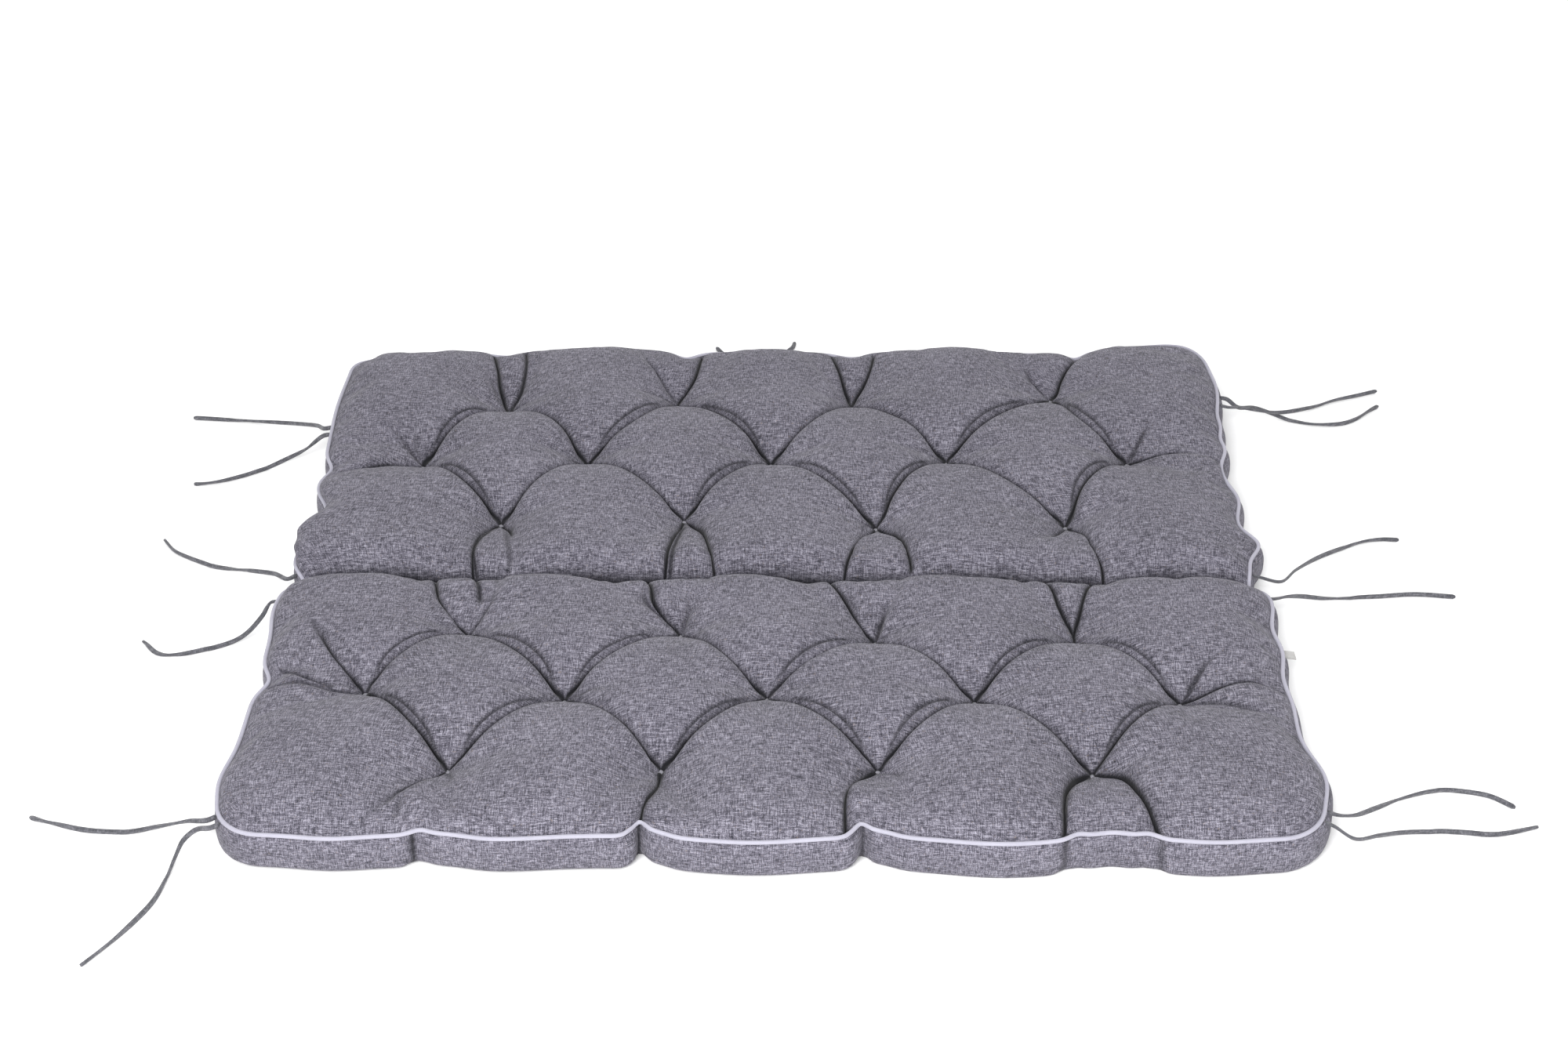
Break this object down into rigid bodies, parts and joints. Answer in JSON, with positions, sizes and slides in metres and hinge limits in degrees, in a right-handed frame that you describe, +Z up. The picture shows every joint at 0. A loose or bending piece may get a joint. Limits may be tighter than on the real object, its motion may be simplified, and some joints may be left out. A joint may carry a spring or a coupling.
{
  "type": "tufted two-part bench cushion with tie tapes",
  "caption": "Tufted bench cushion in two panels joined by a stitched hinge, with piping round the top edge, tie tapes and a blank side tab, lying on its back.",
  "frame": {"origin": "centre of the cushion's footprint, on the surface it lies on", "axes": "+X along the cushion's width, which is its longest side; +Y from the front edge of the near panel to the far edge; +Z up, through its thickness"},
  "size_m": [1.7093, 1.3892, 0.085],
  "materials": {
    "cover_cloth": "matt grey-blue melange weave with a linen look",
    "piping_cloth": "matt pale grey bias-cut cloth",
    "tie_tape": "matt dark grey melange tape",
    "tab_ribbon": "smooth off-white ribbon, blank"
  },
  "bodies": {
    "root": {"cushion": "cover_cloth", "piping": "piping_cloth", "side_tab": "tab_ribbon", "tie_front_left_a": "tie_tape", "tie_front_left_b": "tie_tape", "tie_front_right_a": "tie_tape", "tie_front_right_b": "tie_tape", "tie_hinge_left_a": "tie_tape", "tie_hinge_left_b": "tie_tape", "tie_hinge_right_a": "tie_tape", "tie_hinge_right_b": "tie_tape", "tie_back_left_a": "tie_tape", "tie_back_left_b": "tie_tape", "tie_back_right_a": "tie_tape", "tie_back_right_b": "tie_tape", "tie_back_middle_a": "tie_tape", "tie_back_middle_b": "tie_tape"}
  },
  "joints": []
}
